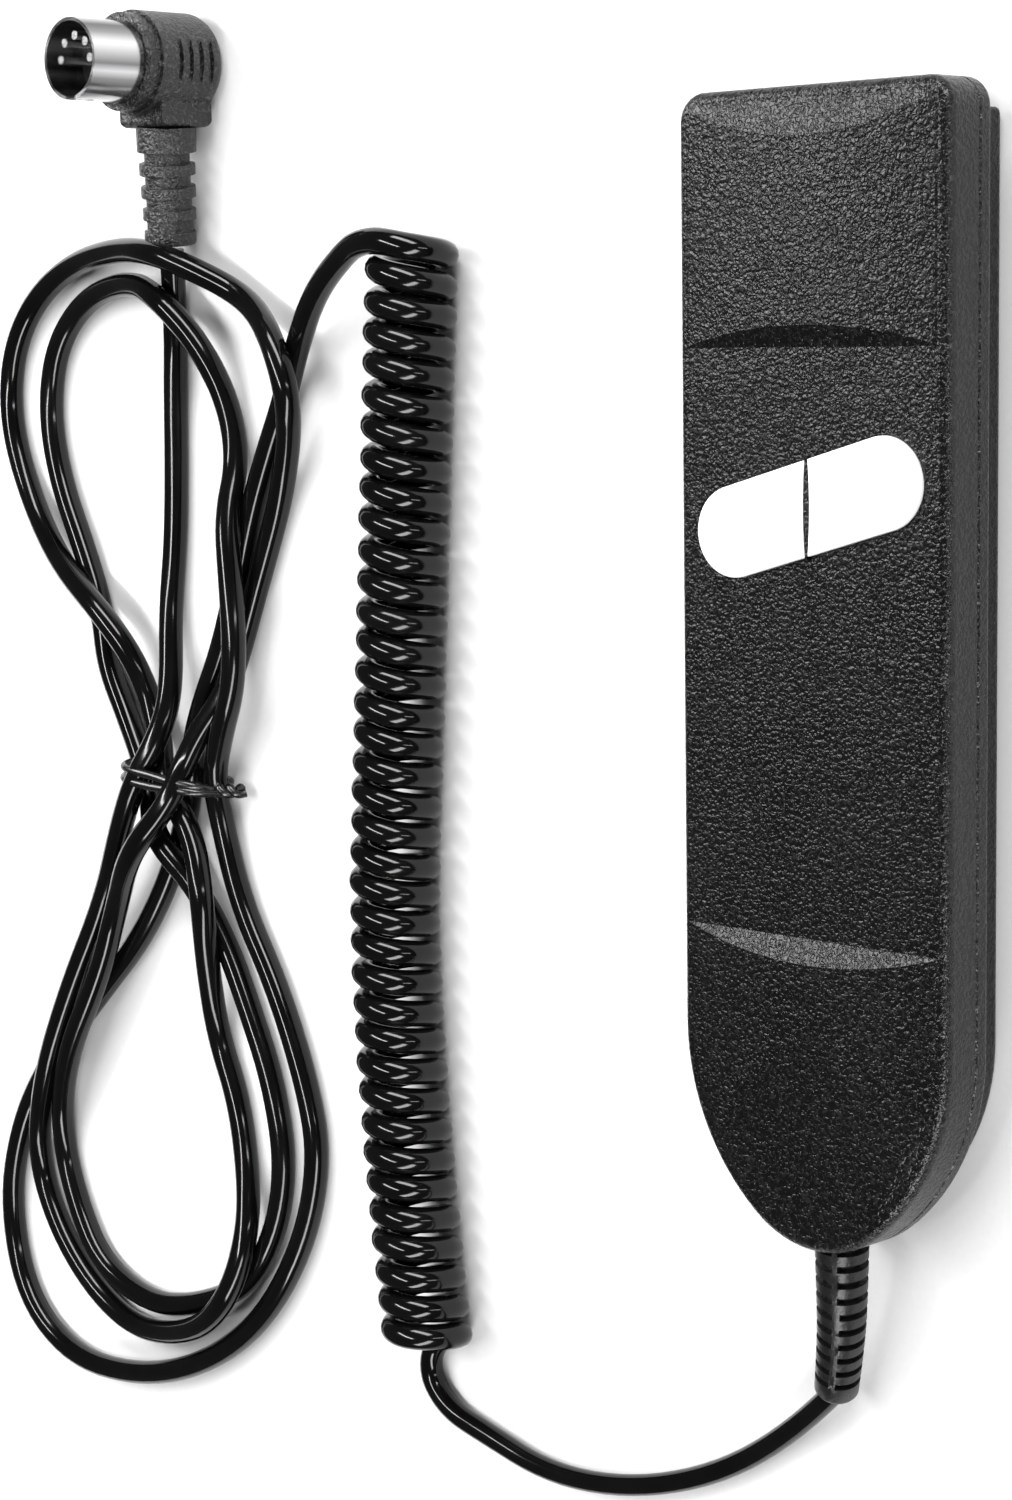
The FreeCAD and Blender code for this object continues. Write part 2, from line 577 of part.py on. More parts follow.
def make_screws(label, places, seat, shank_radius, head_radius, head_height, length, up):
    """A group of like screws: a headed shank each. They drive up, or down, from their seat."""
    pieces = []
    for number, (x, y) in enumerate(places, start=1):
        head = doc.addObject("Part::Cylinder", f"{label}_head_{number}")
        bind(head, "Radius", head_radius)
        bind(head, "Height", head_height)
        shank = doc.addObject("Part::Cylinder", f"{label}_shank_{number}")
        bind(shank, "Radius", shank_radius)
        bind(shank, "Height", length)
        slot = doc.addObject("Part::Box", f"{label}_slot_{number}")
        slot.Length = head_radius.number * DRIVING["driver_slot_share"]
        bind(slot, "Width", cell("driver_slot_width"))
        bind(slot, "Height", cell("driver_slot_depth"))
        x, y, seat = as_size(x).number, as_size(y).number, as_size(seat).number
        turn = Rotation() if up else Rotation(X_AXIS, 180)
        for section, height in ((head, 0), (shank, head_height.number)):
            section.Placement = Placement(Vector(x, y, seat), turn).multiply(
                Placement(Vector(0, 0, height), Rotation()))
        slot.Placement = Placement(Vector(x, y, seat), turn).multiply(
            Placement(Vector(-slot.Length.Value / 2, -slot.Width.Value / 2, 0), Rotation()))
        screw = doc.addObject("Part::Fuse", f"{label}_screw_{number}")
        screw.Base, screw.Tool = head, shank
        cut = doc.addObject("Part::Cut", f"{label}_slotted_{number}")
        cut.Base, cut.Tool = screw, slot
        pieces.append(cut)
    group = doc.addObject("Part::Compound", label)
    group.Label = label
    group.Links = pieces
    return group


def make_clamp():
    """A bridge over the cable, screwed to its block in the rear shell."""
    body = new_body("cord_clamp", y=-DRIVING["clamp_back_y"])
    sketch = new_sketch(body, "clamp_section", "XZ_Plane")
    low, middle = cell("cable_height") - cell("cable_radius") + cell("clamp_clear"), cell("cable_height")
    grip, bridge = cell("cable_radius") + cell("clamp_clear"), cell("clamp_bridge")
    half, foot, top = cell("clamp_half"), low + cell("clamp_foot"), low + cell("clamp_rise")
    outline(sketch, [(-half, low), (-grip, low), (-grip, middle, -grip), (grip, middle), (grip, low),
                     (half, low), (half, foot), (bridge, foot), (bridge, top), (-bridge, top),
                     (-bridge, foot), (-half, foot)])
    pad(body, sketch, cell("clamp_length"), reverse=True)
    sketch = new_sketch(body, "clamp_holes")
    for x in (-cell("clamp_screw_x"), cell("clamp_screw_x")):
        circle(sketch, x, cell("clamp_back_y") - cell("clamp_y"), cell("clamp_hole_radius"))
    pocket(body, sketch, foot + 1, reverse=True)
    return body


def make_connector():
    """The block on the board that the core wires plug into."""
    board_top = DRIVING["board_bottom"] + DRIVING["board_thick"]
    body = new_body("board_connector", y=-DRIVING["connector_y"], z=board_top)
    sketch = new_sketch(body, "connector_block")
    rectangle(sketch, -cell("connector_half_x"), -cell("connector_half_y"),
              cell("connector_half_x"), cell("connector_half_y"))
    pad(body, sketch, cell("connector_height"))
    sketch = new_sketch(body, "connector_ways", "XZ_Plane", offset=cell("way_floor"))
    for number in range(5):
        circle(sketch, cell("way_pitch") * (number - 2), cell("way_height"), cell("way_radius"))
    pocket(body, sketch, cell("connector_half_y"), reverse=True)
    return body


# ---------------------------------------------------------------- cords
def rounded_path(points):
    """Straight runs joined by tangent arcs, each arc as large as its two runs allow."""
    corners = [Vector(*p) for p in points]
    edges, here, tightest = [], corners[0], float("inf")
    for before, corner, after in zip(corners, corners[1:], corners[2:]):
        into, out = corner - before, after - corner
        turn = into.getAngle(out)
        reach = 0.45 * min(into.Length, out.Length)
        tightest = min(tightest, reach / math.tan(turn / 2))
        into, out = into.normalize(), out.normalize()
        start, end = corner - into * reach, corner + out * reach
        inward = (out - into).normalize()
        radius = reach / math.tan(turn / 2)
        middle = corner + inward * (radius / math.cos(turn / 2) - radius)
        edges.append(Part.LineSegment(here, start).toShape())
        edges.append(Part.Arc(start, middle, end).toShape())
        here = end
    edges.append(Part.LineSegment(here, corners[-1]).toShape())
    return Part.Wire(edges), tightest


def make_tube(label, points, radius):
    """One round tube along a cord's route."""
    path, tightest = rounded_path(points)
    start = path.Edges[0]
    along = start.tangentAt(start.FirstParameter)
    section = Part.Wire(Part.Circle(start.valueAt(start.FirstParameter), along, radius).toShape())
    tube = doc.addObject("Part::Feature", label)
    tube.Label = label
    tube.Shape = path.makePipeShell([section], True, False)
    expected = math.pi * radius ** 2 * path.Length
    print(f"{label}: length {path.Length:.1f}, smallest arc radius {tightest:.1f},"
          f" volume {tube.Shape.Volume:.0f} against {expected:.0f}")
    if abs(tube.Shape.Volume / expected - 1) > 0.01:
        fail(f"{label}: volume is not its section times its length")
    return tube


LEAD_ROUTE = [(-5.6, -104.2, 4.4), (-14.0, -112.2, 2.4), (-29.5, -123.2, 1.9), (-47.5, -130.1, 1.9),
              (-65.5, -132.2, 1.9), (-80.5, -128.6, 1.9), (-92.0, -116.9, 3.0)]
COIL_ROUTE = [(-87.0, -117.0, 7.35), (-94.6, -60.0, 7.35), (-91.0, -8.0, 7.35), (-86.3, 63.6, 7.35)]
ARCH_ROUTE = [(-86.0, 61.8, 12.3), (-97.0, 61.1, 11.4), (-109.0, 54.6, 7.4), (-118.0, 45.6, 3.6),
              (-122.5, 37.0, 2.5)]
TAIL_ROUTE = [(-153.2, 1.0, 3.6), (-151.8, 13.0, 2.5), (-151.0, 27.0, 2.35), (-150.8, 39.0, 2.4),
              (-149.9, 49.8, 2.6)]


def make_hank(tie):
    """The tied figure-eight of straight cord: two open loops, with the tie's groove at the waist."""
    height = DRIVING["hank_height"]

    def ring(points):
        curve = Part.BSplineCurve()
        curve.interpolate([Vector(x, y, 0) for x, y in points], PeriodicFlag=True)
        return Part.Face(Part.Wire(curve.toShape())).extrude(Vector(0, 0, height))
    upper_out = [(-148.0, -34.0), (-134.0, -20.0), (-125.0, 6.0), (-119.5, 31.0), (-128.5, 50.0),
                 (-147.0, 61.5), (-166.0, 63.8), (-187.0, 58.5), (-198.5, 40.0), (-191.5, 14.0),
                 (-175.0, -4.0), (-163.0, -20.0)]
    upper_in = [(-148.5, 2.0), (-138.5, 8.0), (-134.0, 27.0), (-139.0, 42.0), (-150.0, 48.5),
                (-166.0, 50.5), (-178.0, 46.0), (-182.0, 36.0), (-177.0, 23.0), (-165.0, 8.0)]
    lower_out = [(-149.0, -20.0), (-135.0, -34.0), (-126.0, -62.0), (-117.5, -84.0), (-124.0, -111.0),
                 (-147.0, -133.0), (-172.0, -141.0), (-196.0, -136.5), (-206.0, -116.0),
                 (-200.5, -88.0), (-176.0, -63.0), (-160.0, -40.0)]
    lower_in = [(-152.0, -55.0), (-142.0, -62.0), (-134.5, -84.0), (-138.0, -103.0), (-152.0, -119.0),
                (-168.0, -125.0), (-182.0, -121.0), (-188.0, -108.0), (-184.0, -92.0), (-166.0, -70.0)]
    upper = ring(upper_out).cut(ring(upper_in))
    lower = ring(lower_out).cut(ring(lower_in))
    hank = doc.addObject("Part::Feature", "cord_hank")
    hank.Label = "cord_hank"
    hank.Shape = upper.fuse(lower).removeSplitter().cut(tie)
    return hank


def make_tie():
    """A flat tie wrapped once round the waist of the hank."""
    outer = doc.addObject("Part::Box", "tie_outer")
    inner = doc.addObject("Part::Box", "tie_inner")
    thick, wide, half = cell("tie_thick"), cell("tie_width"), cell("tie_half")
    bind(outer, "Length", (half + thick) * 2)
    bind(outer, "Width", wide)
    bind(outer, "Height", cell("hank_height") + thick)
    bind(inner, "Length", half * 2)
    bind(inner, "Width", wide * 2)
    bind(inner, "Height", cell("hank_height") - thick)
    waist = Placement(Vector(DRIVING["tie_x"], DRIVING["tie_y"], 0), Rotation(Z_AXIS, DRIVING["tie_turn"]))
    outer.Placement = waist.multiply(
        Placement(Vector(-(half + thick).number, -wide.number / 2, 0), Rotation()))
    inner.Placement = waist.multiply(
        Placement(Vector(-half.number, -wide.number, thick.number), Rotation()))
    tie = doc.addObject("Part::Cut", "hank_tie")
    tie.Label = "hank_tie"
    tie.Base, tie.Tool = outer, inner
    return tie


# ---------------------------------------------------------------- boots
def make_handset_boot():
    """The moulded strain relief: a flange inside the end wall, then a taper that sags to the cord."""
    body = new_body("handset_boot")
    sections = [(0.0, cell("cable_height"), cell("boot_root_radius"), cell("end_wall_y")),
                (-0.6, 9.2, cell("boot_upper_radius"), 86.0),
                (-2.3, 7.2, cell("boot_lower_radius"), 95.0),
                (-5.6, 4.4, cell("boot_tip_radius"), 104.2)]
    sketches = []
    for number, (x, z, radius, away) in enumerate(sections, start=1):
        sketch = new_sketch(body, f"boot_section_{number}", "XZ_Plane", offset=away)
        circle(sketch, x, z, radius)
        sketches.append(sketch)
    lofted(body, "boot_taper", sketches)
    sketch = new_sketch(body, "boot_neck", "XZ_Plane", offset=cell("boot_inner_y"))
    circle(sketch, 0, cell("cable_height"), cell("boot_root_radius"))
    pad(body, sketch, cell("end_wall_y") - cell("boot_inner_y"))
    sketch = new_sketch(body, "boot_flange", "XZ_Plane", offset=cell("boot_inner_y"))
    circle(sketch, 0, cell("cable_height"), cell("boot_flange_radius"))
    pad(body, sketch, cell("boot_flange_thick"))
    return body


def make_plug_boot():
    """The plug's strain relief: a collar and four rings on a thinner core."""
    collar, height = cell("boot_collar_radius"), cell("boot_collar_length")
    points = [(0.0, 0.0), (collar, 0.0), (collar, height)]
    core, ring = cell("ring_core"), cell("ring_radius")
    for number in range(4):
        gap_end, ring_end = height + cell("ring_gap"), height + cell("ring_pitch")
        points += [(core, height), (core, gap_end), (ring, gap_end), (ring, ring_end)]
        height = ring_end
        core, ring = core - cell("core_taper"), ring - cell("ring_taper")
    points += [(0.0, height)]
    body = revolved("plug_boot", points)
    root = Vector(DRIVING["plug_x"], DRIVING["plug_y"] - DRIVING["neck_end"], DRIVING["boot_axis_height"])
    tip = Vector(-147.9, 63.6, 4.6)
    body.Placement = Placement(root, Rotation(Z_AXIS, tip - root))
    return body


# ---------------------------------------------------------------- plug
def make_plug_body():
    """The moulded head: a drum that rests on its rounded back, with a neck towards the cord."""
    body = new_body("plug_body", x=DRIVING["plug_x"], y=DRIVING["plug_y"])
    sketch = new_sketch(body, "head_drum")
    circle(sketch, 0, 0, cell("head_radius"))
    pad(body, sketch, cell("head_height") - cell("drum_fall"))
    dress(body, "Fillet", cell("drum_round"), lambda e: e.BoundBox.ZMax < 1e-6)
    sketch = new_sketch(body, "head_collar", offset=cell("head_height") - cell("collar_fall"))
    circle(sketch, 0, 0, cell("head_radius") - cell("collar_step"))
    pad(body, sketch, cell("collar_fall"))
    sketch = new_sketch(body, "neck", "XZ_Plane", offset=cell("neck_start"))
    half, low = cell("neck_width") * 0.5, cell("boot_axis_height") - cell("neck_height") * 0.5
    rectangle(sketch, -half, low, half, low + cell("neck_height"))
    pad(body, sketch, cell("neck_end") - cell("neck_start"))
    neck_end = DRIVING["neck_end"] - 1e-3
    dress(body, "Fillet", cell("neck_round"), lambda e: e.BoundBox.YMax < -neck_end)
    # four grip grooves on each side
    for side, name in ((1, "grip_right"), (-1, "grip_left")):
        sketch = new_sketch(body, name, "YZ_Plane", offset=cell("grip_x") * side)
        for number in range(4):
            low = cell("grip_low") + cell("grip_pitch") * number
            rectangle(sketch, -cell("grip_half"), low, cell("grip_half"), low + cell("grip_width"))
        pocket(body, sketch, cell("grip_depth"), reverse=side > 0)
    sketch = new_sketch(body, "shell_seat", offset=cell("shell_bottom"))
    circle(sketch, 0, 0, cell("shell_root_radius"))
    pocket(body, sketch, cell("head_height") - cell("shell_bottom") + 1, reverse=True)
    return body


def make_plug_shell():
    """The plated shield of the plug: a slimmer root in the head, and the slot that keys it."""
    body = new_body("plug_shell", x=DRIVING["plug_x"], y=DRIVING["plug_y"])
    bottom, root_top = cell("shell_bottom"), cell("shell_root_top")
    inner = cell("shell_radius") - cell("shell_wall")
    sketch = new_sketch(body, "shield_root", offset=bottom)
    circle(sketch, 0, 0, cell("shell_root_radius"))
    circle(sketch, 0, 0, inner)
    pad(body, sketch, root_top - bottom)
    sketch = new_sketch(body, "shield_tube", offset=root_top)
    circle(sketch, 0, 0, cell("shell_radius"))
    circle(sketch, 0, 0, inner)
    pad(body, sketch, cell("plug_top") - root_top)
    sketch = new_sketch(body, "key_slot", "XZ_Plane", offset=cell("key_inner_y"))
    rectangle(sketch, -cell("key_half"), cell("plug_top") - cell("key_depth"), cell("key_half"),
              cell("plug_top") + 1)
    pocket(body, sketch, cell("key_reach"), reverse=True)
    return body


def make_plug_insert():
    body = new_body("plug_insert", x=DRIVING["plug_x"], y=DRIVING["plug_y"])
    sketch = new_sketch(body, "insert_disc", offset=cell("shell_bottom"))
    circle(sketch, 0, 0, cell("shell_radius") - cell("shell_wall"))
    pad(body, sketch, cell("insert_top") - cell("shell_bottom"))
    hole_floor = cell("shell_bottom") + cell("insert_floor")
    sketch = new_sketch(body, "contact_holes", offset=hole_floor)
    for x, y in contact_places():
        circle(sketch, x, y, cell("pin_radius"))
    pocket(body, sketch, cell("insert_top") - hole_floor + 1, reverse=True)
    return body


def contact_places():
    """Five contacts, 45 degrees apart, on the side away from the key."""
    for number in range(5):
        turn = math.radians(45 * number)
        yield DRIVING["pin_circle"] * math.cos(turn), DRIVING["pin_circle"] * math.sin(turn)


def make_plug_contacts():
    pieces, foot = [], cell("shell_bottom") + cell("insert_floor")
    for number, (x, y) in enumerate(contact_places(), start=1):
        pin = doc.addObject("Part::Cylinder", f"contact_{number}")
        bind(pin, "Radius", cell("pin_radius"))
        bind(pin, "Height", cell("pin_top") - foot)
        pin.Placement = Placement(
            Vector(DRIVING["plug_x"] + x, DRIVING["plug_y"] + y, foot.number), Rotation())
        pieces.append(pin)
    group = doc.addObject("Part::Compound", "plug_contacts")
    group.Label = "plug_contacts"
    group.Links = pieces
    return group


# ---------------------------------------------------------------- the assembly
parts = [make_front_shell(), make_rear_shell()]
for name, side in (("left", -1), ("right", 1)):
    parts.append(make_button(f"{name}_button", half_turn=side > 0))
    switch, switch_x, switch_y = make_switch(f"{name}_switch", side)
    parts.append(switch)
    parts.append(make_plunger(f"{name}_plunger", switch_x, switch_y))
    parts.append(make_spring(f"{name}_spring", switch_x, switch_y))
parts.append(make_board())
parts.append(make_screws(
    "case_screws", screw_places(), cell("screw_head_depth") - cell("screw_head_height"),
    cell("case_thread_radius"), cell("screw_head_radius"), cell("screw_head_height"),
    cell("case_screw_length"), up=True))
parts.append(make_screws(
    "board_screws", board_places(),
    cell("board_bottom") + cell("board_thick") + cell("board_screw_height"),
    cell("board_thread_radius"), cell("board_screw_head"), cell("board_screw_height"),
    cell("board_screw_length"), up=False))
parts.append(make_clamp())
clamp_top = cell("cable_height") - cell("cable_radius") + cell("clamp_clear") + cell("clamp_foot")
parts.append(make_screws(
    "clamp_screws", clamp_screw_places(), clamp_top + cell("clamp_screw_height"),
    cell("clamp_screw_radius"), cell("clamp_screw_head"), cell("clamp_screw_height"),
    cell("clamp_screw_length"), up=False))
parts.append(make_connector())

inner_cable = doc.addObject("Part::Cylinder", "inner_cable")
inner_cable.Label = "inner_cable"
bind(inner_cable, "Radius", cell("cable_radius"))
bind(inner_cable, "Height", cell("cable_length"))
inner_cable.Placement = Placement(
    Vector(0, -DRIVING["boot_inner_y"], DRIVING["cable_height"]), Rotation(X_AXIS, -90))
parts.append(inner_cable)

wires = []
wire_height = DRIVING["board_bottom"] + DRIVING["board_thick"] + DRIVING["way_height"]
for number in range(5):
    spread = DRIVING["way_pitch"] * (number - 2)
    route = [(0.45 * (number - 2), -53.9, DRIVING["cable_height"]),
             (0.2 * spread, -46.0, DRIVING["cable_height"] + 0.1),
             (0.9 * spread, -24.0, wire_height - 0.1 - 0.05 * number), (spread, -9.4, wire_height)]
    path = rounded_path(route)[0]
    first_edge = path.Edges[0]
    ring = Part.Circle(Vector(*route[0]), first_edge.tangentAt(first_edge.FirstParameter),
                       DRIVING["wire_radius"])
    wires.append(path.makePipeShell([Part.Wire(ring.toShape())], True, False))
core_wires = doc.addObject("Part::Feature", "core_wires")
core_wires.Label = "core_wires"
core_wires.Shape = Part.makeCompound(wires)
parts.append(core_wires)

parts.append(make_handset_boot())
parts.append(make_tube("lead_cord", LEAD_ROUTE, DRIVING["lead_radius"]))
parts.append(make_tube("curly_coil", COIL_ROUTE, DRIVING["coil_radius"]))
parts.append(make_tube("arch_cord", ARCH_ROUTE, DRIVING["cord_radius"]))
parts.append(make_tube("tail_cord", TAIL_ROUTE, DRIVING["cord_radius"]))
tie = make_tie()
doc.recompute()
parts.append(tie)
parts.append(make_hank(tie.Shape))
parts.append(make_plug_boot())
parts.append(make_plug_body())
parts.append(make_plug_shell())
parts.append(make_plug_insert())
parts.append(make_plug_contacts())

doc.recompute()
for thing in doc.Objects:
    if "Invalid" in thing.State or "Error" in thing.State:
        fail(f"{thing.Name}: {thing.State}")
os.makedirs("parts", exist_ok=True)
for part in parts:
    shape = part.Shape
    if shape.isNull() or not shape.isValid():
        fail(f"{part.Label}: bad shape")
    shape.exportStep(f"parts/{part.Label}.step")
    box = shape.BoundBox
    print(f"{part.Label}: {len(shape.Solids)} solid(s), {shape.Volume:.1f} mm3,"
          f" z {box.ZMin:.2f} to {box.ZMax:.2f}")
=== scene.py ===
import math

import bmesh
import bpy
from mathutils import Matrix, Vector


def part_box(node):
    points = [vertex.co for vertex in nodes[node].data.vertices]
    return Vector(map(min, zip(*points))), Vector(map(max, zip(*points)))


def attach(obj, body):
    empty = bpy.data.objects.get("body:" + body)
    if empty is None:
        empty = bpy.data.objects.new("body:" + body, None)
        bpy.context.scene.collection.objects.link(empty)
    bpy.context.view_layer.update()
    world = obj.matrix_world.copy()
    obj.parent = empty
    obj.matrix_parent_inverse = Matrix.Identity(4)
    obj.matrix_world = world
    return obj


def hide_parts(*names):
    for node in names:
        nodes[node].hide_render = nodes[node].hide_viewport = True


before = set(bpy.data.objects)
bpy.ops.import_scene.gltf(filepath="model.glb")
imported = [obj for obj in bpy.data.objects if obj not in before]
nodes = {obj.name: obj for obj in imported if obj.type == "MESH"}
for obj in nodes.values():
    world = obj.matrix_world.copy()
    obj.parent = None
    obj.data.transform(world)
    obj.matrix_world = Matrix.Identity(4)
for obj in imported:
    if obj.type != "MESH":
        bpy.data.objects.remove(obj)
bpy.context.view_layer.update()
scene = bpy.context.scene

# Camera: a long lens above the handset's right side, looking down at 45 degrees, so that the
# face, its right side and the whole of the cord are in view. It stands free, without shift.
camera_data = bpy.data.cameras.new("camera")
camera_data.lens = 77.26
camera_data.sensor_width = 36
camera_data.clip_start, camera_data.clip_end = 0.01, 10
camera = bpy.data.objects.new("camera", camera_data)
scene.collection.objects.link(camera)
camera_right = Vector((0.71231, -0.01471, -0.70171)).normalized()
camera_up = Vector((-0.08000, 0.99156, -0.10200)).normalized()
camera_back = camera_right.cross(camera_up)
camera_axes = Matrix((camera_right, camera_up, camera_back)).transposed().to_4x4()
camera.matrix_world = Matrix.Translation((0.27674, 0.04782, 0.35563)) @ camera_axes
scene.camera = camera


# Floor: a wide sheet of matt white paper that the object lies on. It is one flat grid with a faint
# fibre bump, and isn't part of the object.
def add_node(tree, kind, inputs=(), **settings):
    """A node of that kind with its settings, each input linked or set."""
    made = tree.nodes.new(kind)
    for setting, value in settings.items():
        setattr(made, setting, value)
    for name, value in dict(inputs).items():
        if isinstance(value, bpy.types.NodeSocket):
            tree.links.new(value, made.inputs[name])
        else:
            made.inputs[name].default_value = value
    return made


def start_material(name):
    """An empty material, its node tree, and the object coordinates that its patterns read."""
    material = bpy.data.materials.new(name)
    material.use_nodes = True
    tree = material.node_tree
    tree.nodes.clear()
    return material, tree, tree.nodes.new("ShaderNodeTexCoord").outputs["Object"]


def end_material(tree, inputs):
    """The surface shader of a material, joined to its output."""
    shader = add_node(tree, "ShaderNodeBsdfPrincipled", inputs)
    add_node(tree, "ShaderNodeOutputMaterial", {"Surface": shader.outputs["BSDF"]})
    return shader


def blended(tree, share, low, high):
    """A colour between two others."""
    mix = add_node(tree, "ShaderNodeMix", data_type="RGBA")
    tree.links.new(share, mix.inputs["Factor"])
    mix.inputs["A"].default_value = (*low, 1)
    mix.inputs["B"].default_value = (*high, 1)
    return mix.outputs["Result"]


def ranged(tree, value, from_low, from_high, to_low, to_high):
    """A value moved from one range to another, and kept in it."""
    moved = add_node(tree, "ShaderNodeMapRange", {
        "Value": value, "From Min": from_low, "From Max": from_high,
        "To Min": to_low, "To Max": to_high})
    return moved.outputs["Result"]


def link_mesh(name, bm, material, smooth_angle=None):
    """A bmesh made into a piece of the scene, smooth except at its sharp edges."""
    mesh = bpy.data.meshes.new(name)
    bm.to_mesh(mesh)
    bm.free()
    mesh.materials.append(material)
    if smooth_angle is not None:
        mesh.shade_smooth()
        mesh.set_sharp_from_angle(angle=math.radians(smooth_angle))
    piece = bpy.data.objects.new(name, mesh)
    scene.collection.objects.link(piece)
    return piece


def grey(tone):
    """A colour without hue."""
    return tone, tone, tone


paper, tree, place = start_material("floor_paper")
fibres = add_node(tree, "ShaderNodeTexNoise", {"Vector": place, "Scale": 900.0, "Detail": 4.0})
paper_bump = add_node(tree, "ShaderNodeBump", {
    "Height": fibres.outputs["Fac"], "Strength": 0.05, "Distance": 0.0002})
end_material(tree, {
    "Base Color": blended(tree, fibres.outputs["Fac"], grey(0.46), grey(0.50)),
    "Roughness": 0.75, "Normal": paper_bump.outputs["Normal"]})
bm = bmesh.new()
bmesh.ops.create_grid(bm, x_segments=1, y_segments=1, size=6.0)
floor = link_mesh("floor", bm, paper)

# Light: a dim pale room with five softboxes. Two of them leave pieces out: overhead doesn't reach
# the two shells, and left_back doesn't reach the cord, so each gets highlights of its own.
world = bpy.data.worlds.new("studio")
world.use_nodes = True
world.node_tree.nodes["Background"].inputs["Color"].default_value = (1.0, 1.0, 1.0, 1.0)
world.node_tree.nodes["Background"].inputs["Strength"].default_value = 0.09
scene.world = world
scene.view_settings.view_transform = "Standard"
light_target = Vector((-0.08, -0.02, 0.01))
softboxes = (
    ("overhead", (-0.28, 0.11, 1.15), 0.09, 1.10, 14.0),
    ("beyond_the_top", (0.30, 0.95, 0.62), 1.25, 0.32, 25.0),
    ("beyond_the_foot", (0.50, -0.82, 0.72), 1.25, 0.28, 20.0),
    ("low_right", (1.11, 0.087, 0.13), 0.08, 1.00, 4.0),
    ("left_back", (-0.78, 0.43, 0.77), 0.42, 0.76, 15.0),
)
lamps = {}
for name, position, width, height, power in softboxes:
    light = bpy.data.lights.new(name, "AREA")
    light.shape = "RECTANGLE"
    light.size, light.size_y = width, height
    light.energy = power
    lamp = bpy.data.objects.new(name, light)
    facing = light_target - Vector(position)
    lamp.location = position
    lamp.rotation_mode = "QUATERNION"
    lamp.rotation_quaternion = facing.to_track_quat("-Z", "Y")
    scene.collection.objects.link(lamp)
    lamps[name] = lamp


def keep_light_off(lamp, pieces):
    """Leave some pieces out of what a lamp lights."""
    left_out = bpy.data.collections.new(lamp.name + "_left_out")
    for piece in pieces:
        left_out.objects.link(piece)
    for entry in left_out.collection_objects:
        entry.light_linking.link_state = "EXCLUDE"
    lamp.light_linking.receiver_collection = left_out


keep_light_off(lamps["overhead"], [nodes["front_shell"], nodes["rear_shell"]])

# Cord: one extruded PVC cord, from the handset's boot to the plug's. It is slimmer on the first
# run, is wound into a heat-set curly coil, then arches down into a flat hank of three loops.
# It is one open spline with a round bevel; only the coil's points are worked out by a loop.
cord_radius = 0.0021
lead_share = 0.81


def nurbs_curve(name, points, radius=0.0, shares=None, resolution=6):
    """A curve of one smooth open spline through the middle of a cord."""
    curve = bpy.data.curves.new(name, "CURVE")
    curve.dimensions = "3D"
    curve.bevel_depth = radius
    curve.bevel_resolution = 5
    curve.use_fill_caps = True
    spline = curve.splines.new("NURBS")
    spline.points.add(len(points) - 1)
    for i, point in enumerate(points):
        spline.points[i].co = (*point, 1.0)
        spline.points[i].radius = shares[i] if shares else 1.0
    spline.order_u = 3
    spline.use_endpoint_u = True
    spline.resolution_u = resolution
    return curve


def route_line(points):
    """The points that a route's smooth spline passes through."""
    guide = bpy.data.objects.new("guide", nurbs_curve("guide", points, resolution=60))
    mesh = bpy.data.meshes.new_from_object(guide)
    line = [v.co.copy() for v in mesh.vertices]
    guide_curve = guide.data
    bpy.data.objects.remove(guide)
    bpy.data.curves.remove(guide_curve)
    bpy.data.meshes.remove(mesh)
    return line


def place_on(line, distance):
    """The axes at a distance along a line: X to its side, Y upward, Z along it."""
    for start, end in zip(line, line[1:]):
        step = (end - start).length
        if distance <= step or end is line[-1]:
            break
        distance -= step
    ahead = (end - start).normalized()
    point = start + ahead * distance
    side = ahead.cross(Vector((0, 0, 1))).normalized()
    axes = Matrix((side, side.cross(ahead), ahead)).transposed().to_4x4()
    return Matrix.Translation(point) @ axes


def line_length(line):
    """The length of a line of points."""
    return sum((end - start).length for start, end in zip(line, line[1:]))


def metres(points):
    """Points given in millimetres, in metres."""
    return [Vector(point) / 1000 for point in points]


lead_route = metres([
    (-5.6, -104.2, 4.4), (-14.0, -112.2, 2.4), (-29.5, -123.2, 1.9), (-47.5, -130.1, 1.9),
    (-65.5, -132.2, 1.9), (-80.5, -128.6, 1.9), (-87.3, -127.0, 1.9), (-91.7, -123.5, 1.9),
    (-92.7, -119.6, 1.9), (-91.1, -116.0, 1.9)])
coil_route = metres([
    (-87.0, -117.0, 7.35), (-94.6, -60.0, 7.35), (-91.0, -8.0, 7.35), (-86.3, 63.6, 7.35)])
arch_route = metres([
    (-86.0, 61.8, 12.3), (-89.4, 62.1, 12.6), (-93.0, 61.9, 12.0), (-97.4, 60.9, 10.9),
    (-109.0, 54.6, 7.4), (-118.0, 45.6, 3.6), (-122.5, 37.0, 2.5)])
inner_fall = metres([
    (-127.4, 28.5, 2.1), (-132, 18.5, 2.1), (-135.8, 7, 2.1), (-140.5, -5.5, 2.1),
    (-146, -15, 2.1), (-148.5, -23.5, 2.6)])
widest_loop = metres([
    (-149.5, -32, 2.4), (-155, -44.5, 2.1), (-164, -57.5, 2.1), (-177, -69.5, 2.1),
    (-193.5, -85.5, 2.1), (-202, -98.5, 2.1), (-206, -113.5, 2.1), (-202, -130.5, 2.1),
    (-188.5, -139.5, 2.1), (-168.5, -139, 2.1), (-149.5, -132.5, 2.1), (-133.5, -121, 2.1),
    (-122.5, -105, 2.1), (-118.5, -90, 2.1), (-121, -78, 2.1), (-128, -62, 2.1),
    (-137, -48.5, 2.1), (-140.5, -35.5, 2.8)])
